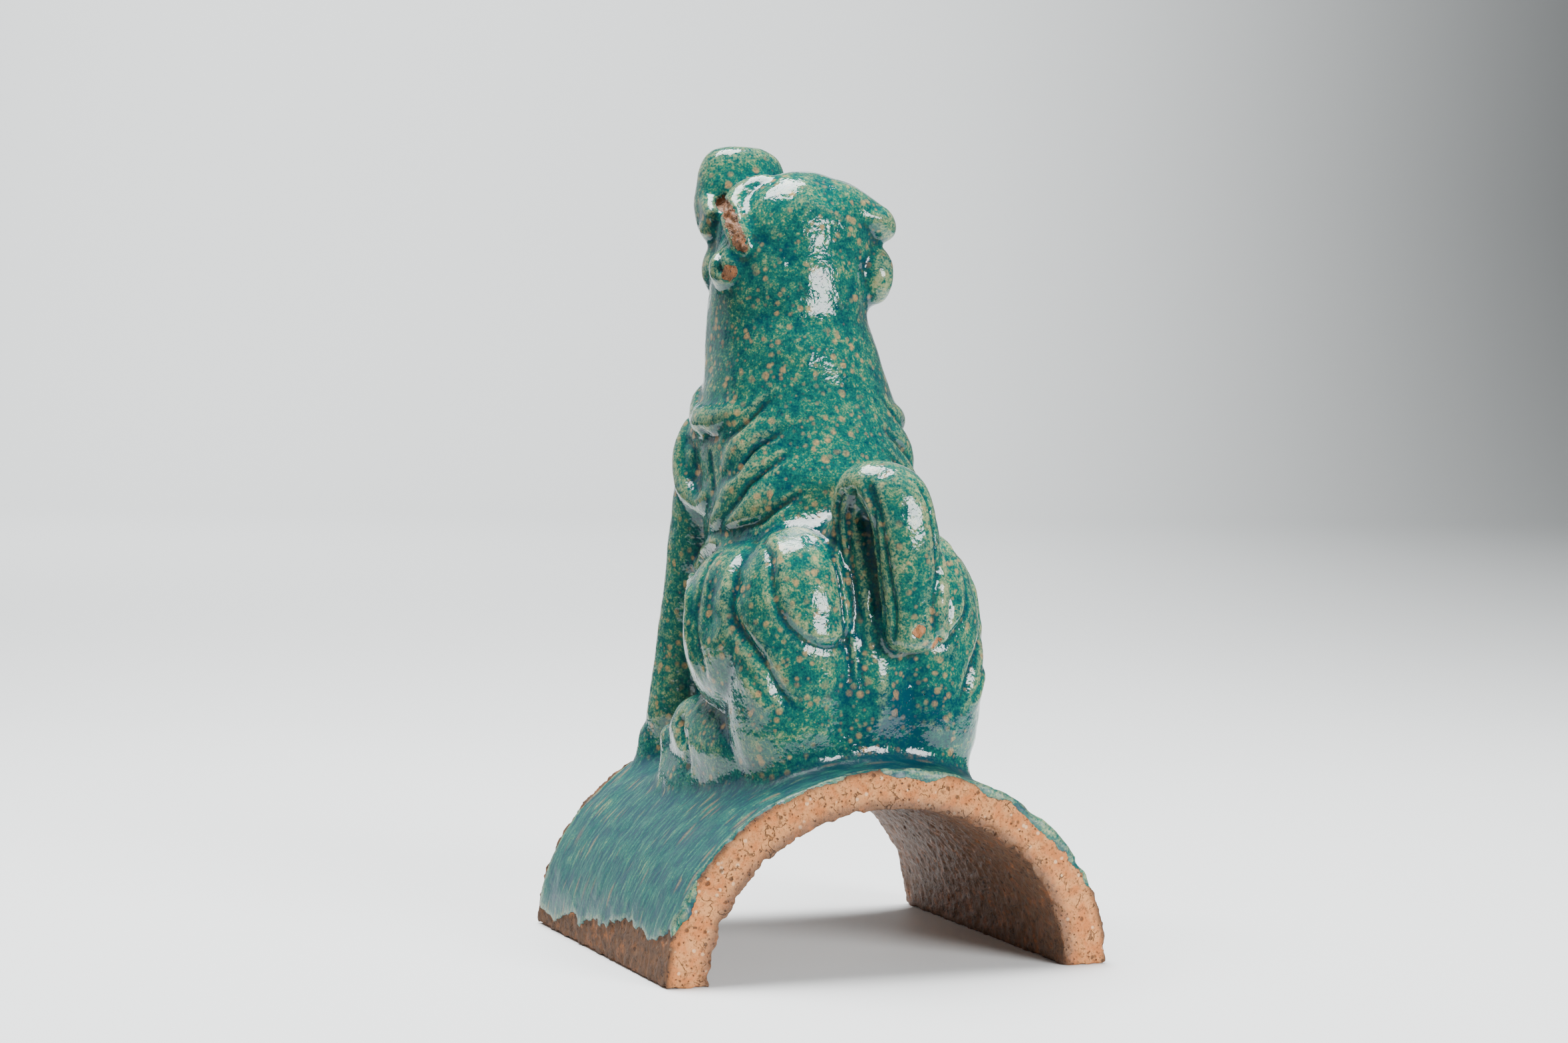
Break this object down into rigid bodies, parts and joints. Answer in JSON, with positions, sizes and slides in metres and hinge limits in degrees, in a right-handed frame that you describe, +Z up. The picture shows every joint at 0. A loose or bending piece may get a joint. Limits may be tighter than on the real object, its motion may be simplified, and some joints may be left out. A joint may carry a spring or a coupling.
{
  "type": "ridge beast roof ornament",
  "caption": "Glazed earthenware ridge ornament: a seated beast with an upturned snout and a folded tail, fired in one piece with the half-round tile under it.",
  "frame": {"origin": "middle of the tile on the plane of its two long lower edges", "axes": "+Z up through the beast, -Y the way the beast faces along the ridge, +X the beast's left"},
  "size_m": [0.175, 0.151, 0.305],
  "materials": {
    "turquoise_glaze": "mottled turquoise-green lead glaze over buff-pink earthenware, glossy, bare where the glaze stops at the tile's ends, lower edges and breaks"
  },
  "bodies": {
    "root": {"ridge_beast_on_tile": "turquoise_glaze"}
  },
  "joints": []
}
